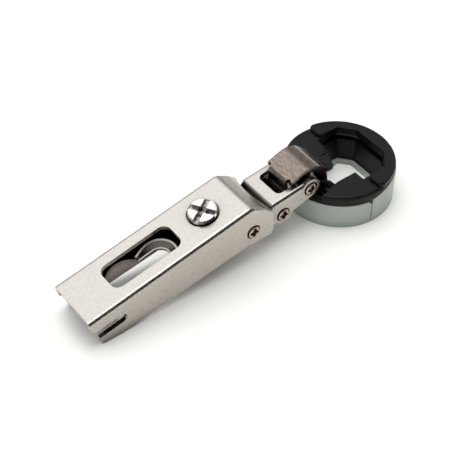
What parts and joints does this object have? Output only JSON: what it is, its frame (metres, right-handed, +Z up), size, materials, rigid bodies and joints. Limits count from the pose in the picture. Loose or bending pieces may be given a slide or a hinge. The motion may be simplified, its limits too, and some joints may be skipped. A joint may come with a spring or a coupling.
{
  "type": "concealed cup hinge",
  "caption": "Concealed cup hinge for a thin door: a sloping folded steel arm with an adjusting screw, riveted links and a black round cup in a pale split sleeve, standing open.",
  "frame": {"origin": "on the cup's axis, at the sleeve's underside, which lies on the surface the open hinge rests on", "axes": "+Z up along the cup's axis, out of its pocket; the arm lies toward -X and slopes down to its rear end; the pivots run along Y"},
  "size_m": [0.0847, 0.026, 0.0163],
  "materials": {
    "nickel_sheet": "matte nickel-plated sheet steel",
    "satin_strip": "satin nickel-plated strip",
    "rivet_steel": "nickel-plated, worn a little coppery by riveting",
    "screw_steel": "bright zinc-plated",
    "black_plastic": "moulded, fine matte grain",
    "pale_plastic": "moulded, milky and slightly translucent"
  },
  "bodies": {
    "arm": {"arm_channel": "nickel_sheet", "keyhole_plate": "nickel_sheet", "arm_pivot_rivet": "rivet_steel"},
    "screw": {"adjusting_screw": "screw_steel"},
    "channel": {"link_channel": "nickel_sheet", "outer_link_rivet": "rivet_steel", "inner_link_rivet": "rivet_steel"},
    "outer_link": {"outer_link": "satin_strip"},
    "inner_link": {"inner_link": "satin_strip"},
    "cup": {"cup_body": "black_plastic", "cup_sleeve": "pale_plastic", "outer_link_pin": "rivet_steel", "inner_link_pin": "rivet_steel"}
  },
  "joints": [
    {"name": "screw_turn", "type": "hinge", "parent": "arm", "child": "screw", "pos_m": [-0.03859, 0, 0.01451], "axis": [-0.1994, 0, 0.9799], "range_deg": [-235, 235]},
    {"name": "arm_tilt", "type": "hinge", "parent": "arm", "child": "channel", "pos_m": [-0.03005, 0, 0.00916], "axis": [0, -1, 0], "range_deg": [-4, 4]},
    {"name": "outer_link_turn", "type": "hinge", "parent": "channel", "child": "outer_link", "pos_m": [-0.02082, 0, 0.00793], "axis": [0, -1, 0], "range_deg": [-12, 0]},
    {"name": "inner_link_turn", "type": "hinge", "parent": "channel", "child": "inner_link", "pos_m": [-0.01326, 0, 0.0114], "axis": [0, -1, 0], "range_deg": [0, 10.44]},
    {"name": "cup_fold", "type": "hinge", "parent": "outer_link", "child": "cup", "pos_m": [-0.00662, 0, 0.00546], "axis": [0, -1, 0], "range_deg": [0, 113.5]}
  ],
  "couplings": [
    {"joint": "arm_tilt", "follows": "screw_turn", "ratio": 0.017},
    {"joint": "outer_link_turn", "follows": "cup_fold", "ratio": -0.1057},
    {"joint": "inner_link_turn", "follows": "cup_fold", "ratio": 0.0919}
  ]
}
